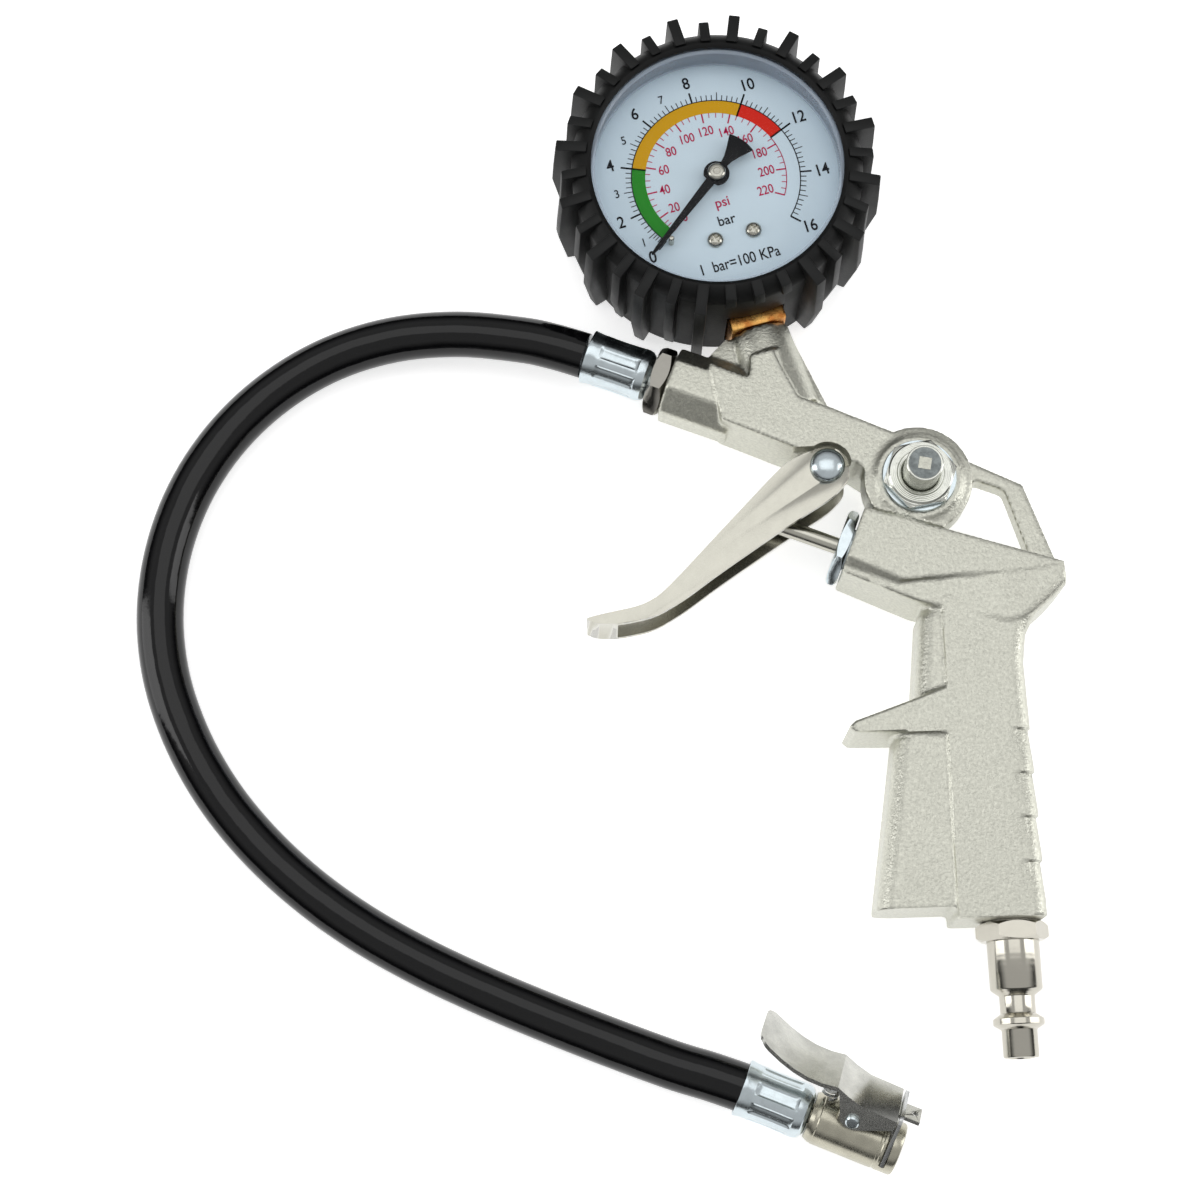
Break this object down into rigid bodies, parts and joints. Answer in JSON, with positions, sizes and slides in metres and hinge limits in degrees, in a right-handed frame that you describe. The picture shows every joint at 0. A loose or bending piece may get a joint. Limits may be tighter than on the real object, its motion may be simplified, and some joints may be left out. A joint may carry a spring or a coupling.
{
  "type": "tyre inflator with gauge",
  "caption": "Hand-held tyre inflator: cast pistol grip with squeeze trigger, bleed button, rubber-booted dial gauge, and a short hose ending in a clip-on lever chuck.",
  "frame": {"origin": "on the surface the inflator lies on, under the centre of the box round the gun and its gauge, hose and chuck left out", "axes": "+Y runs up the grip away from the air plug, +Z is square to the side of the gun and the way the dial faces, +X is from the trigger side to the back of the grip"},
  "size_m": [0.2157, 0.271, 0.033],
  "materials": {
    "cast_nickel": "satin nickel over a fine-grained die casting",
    "body_nickel": "dull nickel over turned brass",
    "polished_nickel": "polished nickel",
    "bright_zinc": "bright bluish zinc",
    "dark_nickel": "dark nickel",
    "spring_steel": "plain steel",
    "brass": "plain machined brass",
    "boot_rubber": "matt moulded black rubber",
    "hose_rubber": "glossy black rubber",
    "seal_rubber": "matt black nitrile",
    "case_steel": "black paint on drawn steel",
    "dial_white": "printed pale blue-white enamel",
    "pointer_black": "black paint on thin aluminium",
    "clear_lens": "clear moulded lens"
  },
  "bodies": {
    "gun": {"gun_body": "cast_nickel", "chuck_body": "body_nickel", "air_plug": "polished_nickel", "bleed_nut": "polished_nickel", "dial_screw_1": "polished_nickel", "dial_screw_2": "polished_nickel", "dial_stop_pin": "polished_nickel", "gun_ferrule": "bright_zinc", "chuck_ferrule": "bright_zinc", "trigger_pin": "bright_zinc", "gland_nut": "bright_zinc", "bleed_washer": "bright_zinc", "chuck_pin": "bright_zinc", "hose_nipple": "dark_nickel", "valve_spring": "spring_steel", "bleed_spring": "spring_steel", "chuck_spring": "spring_steel", "hairspring": "spring_steel", "gauge_stem": "brass", "valve_seat": "brass", "movement_plate_back": "brass", "movement_plate_front": "brass", "movement_pillar_1": "brass", "movement_pillar_2": "brass", "bourdon_tube": "brass", "chuck_depressor": "brass", "gauge_boot": "boot_rubber", "hose": "hose_rubber", "rod_seal": "seal_rubber", "bleed_seal": "seal_rubber", "chuck_gasket": "seal_rubber", "gauge_case": "case_steel", "gauge_dial": "dial_white", "gauge_window": "clear_lens"},
    "trigger": {"trigger_lever": "polished_nickel"},
    "push_rod": {"push_rod": "polished_nickel", "valve_poppet": "brass"},
    "bleed_button": {"bleed_button": "dark_nickel"},
    "sector": {"sector_gear": "brass"},
    "link": {"tip_link": "brass"},
    "pointer": {"pinion_arbor": "brass", "pointer": "pointer_black", "pointer_cap": "polished_nickel"},
    "chuck_lever": {"chuck_lever": "polished_nickel"},
    "chuck_jaw": {"chuck_jaw": "spring_steel"}
  },
  "joints": [
    {"name": "trigger_pull", "type": "hinge", "parent": "gun", "child": "trigger", "pos_m": [0.00442, 0.01291, 0.012], "axis": [0, 0, 1], "range_deg": [0, 15], "stiffness_Nm_per_rad": 0.5, "springref_deg": -5.73, "deforming": ["valve_spring"]},
    {"name": "push_rod_slide", "type": "slide", "parent": "gun", "child": "push_rod", "axis": [0.9272, -0.3746, 0], "range_m": [0, 0.0045]},
    {"name": "bleed_press", "type": "slide", "parent": "gun", "child": "bleed_button", "axis": [0, 0, -1], "range_m": [0, 0.003], "stiffness_N_per_m": 500, "springref_m": -0.002, "deforming": ["bleed_spring"]},
    {"name": "sector_turn", "type": "hinge", "parent": "gun", "child": "sector", "pos_m": [-0.02474, 0.07739, 0.012], "axis": [0, 0, 1], "range_deg": [0, 35], "stiffness_Nm_per_rad": 0.01, "springref_deg": -2.86, "deforming": ["bourdon_tube", "hairspring"]},
    {"name": "link_turn", "type": "hinge", "parent": "sector", "child": "link", "pos_m": [-0.02866, 0.07499, 0.01855], "axis": [0, 0, 1], "range_deg": [-35, 0]},
    {"name": "pointer_turn", "type": "hinge", "parent": "gun", "child": "pointer", "pos_m": [-0.01845, 0.08462, 0.012], "axis": [0, 0, 1], "range_deg": [-262.5, 0]},
    {"name": "chuck_lever_press", "type": "hinge", "parent": "gun", "child": "chuck_lever", "pos_m": [0.00338, -0.1322, 0.01107], "axis": [-0.2499, -0.5776, 0.7771], "range_deg": [0, 15], "stiffness_Nm_per_rad": 0.3, "springref_deg": -8.59, "deforming": ["chuck_spring"]},
    {"name": "chuck_jaw_slide", "type": "slide", "parent": "gun", "child": "chuck_jaw", "axis": [0.3086, 0.7132, 0.6293], "range_m": [0, 0.0028]}
  ],
  "couplings": [
    {"joint": "push_rod_slide", "follows": "trigger_pull", "m_per_rad": 0.0169},
    {"joint": "link_turn", "follows": "sector_turn", "ratio": -1},
    {"joint": "pointer_turn", "follows": "sector_turn", "ratio": -7.5},
    {"joint": "chuck_jaw_slide", "follows": "chuck_lever_press", "m_per_rad": 0.0102}
  ]
}
